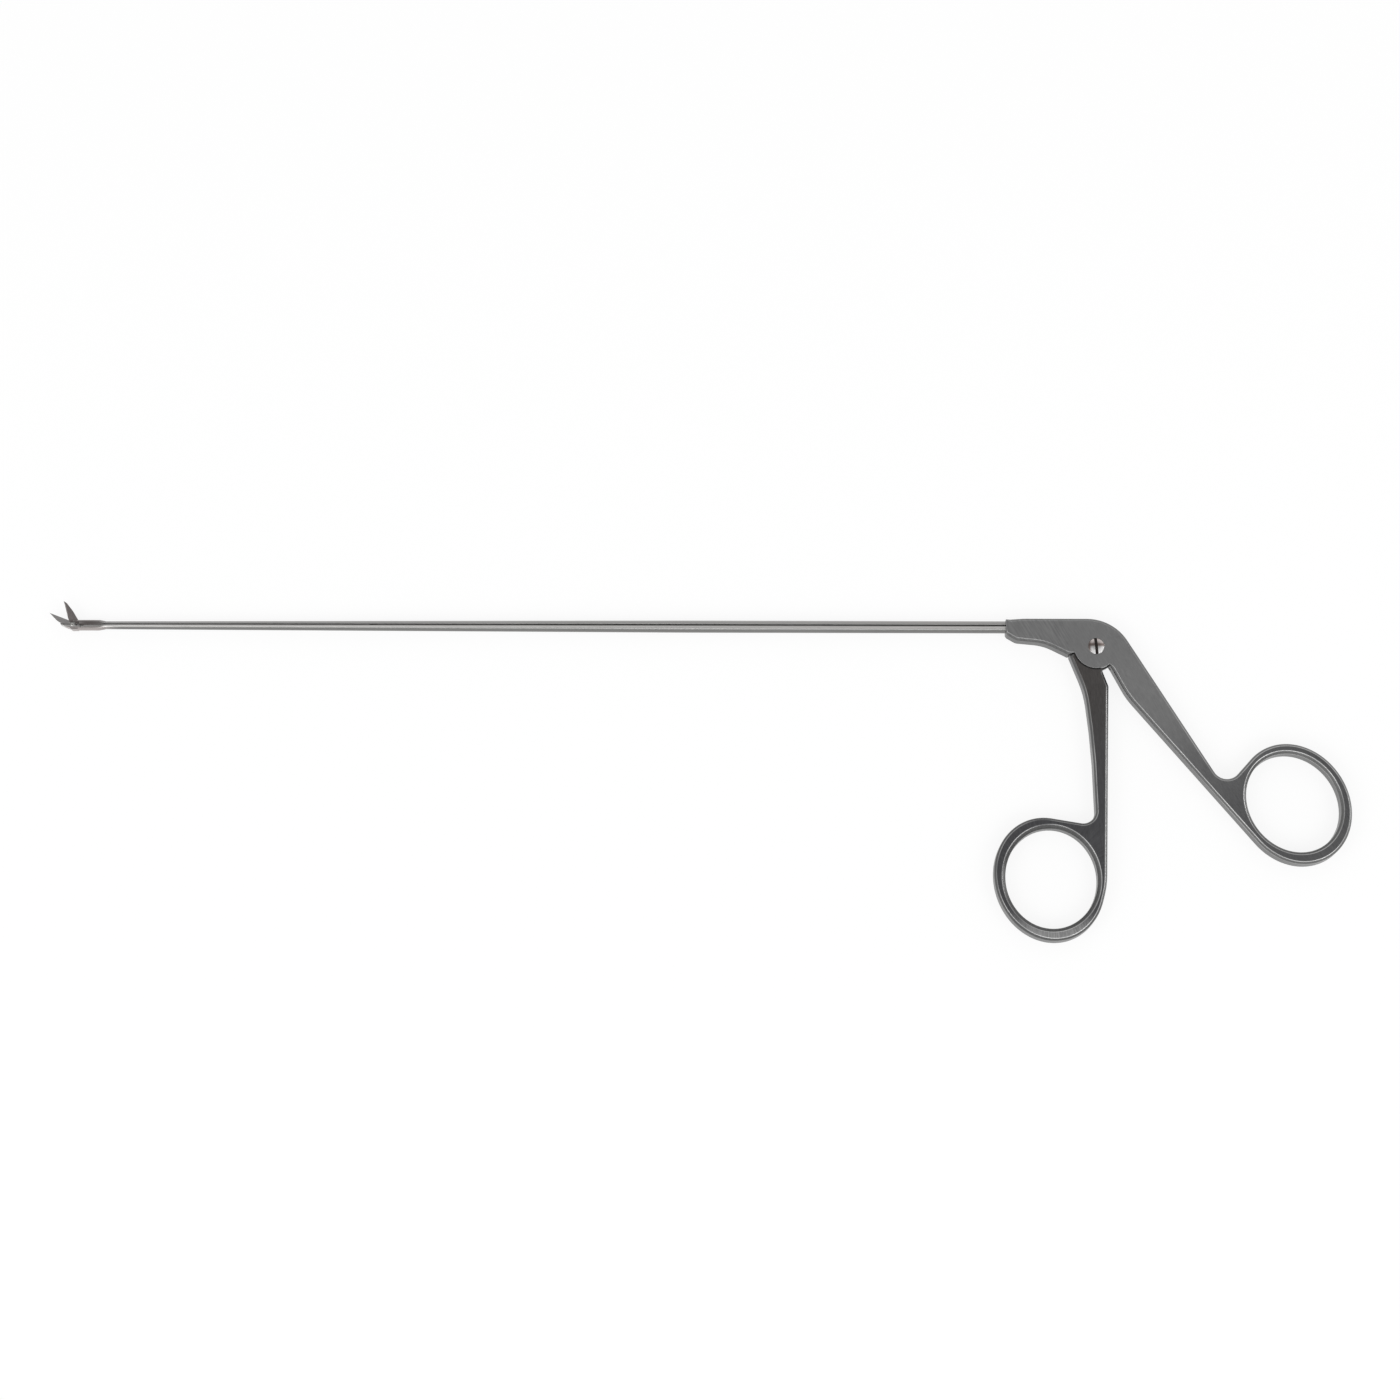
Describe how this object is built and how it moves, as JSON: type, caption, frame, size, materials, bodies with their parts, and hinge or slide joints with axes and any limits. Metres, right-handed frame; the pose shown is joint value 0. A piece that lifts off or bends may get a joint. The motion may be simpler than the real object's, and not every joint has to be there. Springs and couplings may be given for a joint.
{
  "type": "angled surgical scissors",
  "caption": "Long-shaft surgical scissors: closing the finger rings slides the upper shaft bar and shuts the small upward-angled blades at the tip.",
  "frame": {"origin": "where the axis of the pivot screw meets the flat side that the part lies on", "axes": "+X along the shaft from the blades towards the thumb ring, +Y up the body away from the finger ring, +Z across the thickness of the handles, out of the side that faces up"},
  "size_m": [0.3133, 0.0826, 0.0049],
  "materials": {
    "body_steel": "satin ground stainless steel",
    "front_handle_steel": "satin ground stainless steel, a little darker",
    "shaft_steel": "fine satin stainless steel",
    "blade_steel": "finely ground stainless steel",
    "screw_steel": "polished stainless steel",
    "pin_steel": "ground stainless steel"
  },
  "bodies": {
    "frame": {"rear_handle": "body_steel", "pivot_screw": "screw_steel", "lower_shaft": "shaft_steel", "fixed_blade": "blade_steel", "blade_pivot_pin": "pin_steel", "blade_rivet": "pin_steel", "shaft_anchor_pin_front": "pin_steel", "shaft_anchor_pin_rear": "pin_steel", "guide_rivet_front": "pin_steel", "guide_rivet_rear": "pin_steel"},
    "finger_lever": {"front_handle": "front_handle_steel", "handle_drive_pin": "pin_steel"},
    "sliding_bar": {"upper_shaft": "shaft_steel", "blade_drive_pin": "pin_steel"},
    "cutting_blade": {"moving_blade": "blade_steel"}
  },
  "joints": [
    {"name": "front_handle_pivot", "type": "hinge", "parent": "frame", "child": "finger_lever", "pos_m": [0, 0, 0.0023], "axis": [0, 0, 1], "range_deg": [0, 9.78]},
    {"name": "upper_shaft_slide", "type": "slide", "parent": "frame", "child": "sliding_bar", "axis": [-1, 0, 0], "range_m": [0, 0.000716]},
    {"name": "moving_blade_pivot", "type": "hinge", "parent": "frame", "child": "cutting_blade", "pos_m": [-0.2473, 0.005, 0.0025], "axis": [0, 0, 1], "range_deg": [0, 40.7]}
  ],
  "couplings": [
    {"joint": "upper_shaft_slide", "follows": "front_handle_pivot", "m_per_rad": 0.0041949},
    {"joint": "moving_blade_pivot", "follows": "front_handle_pivot", "ratio": 4.1627}
  ]
}
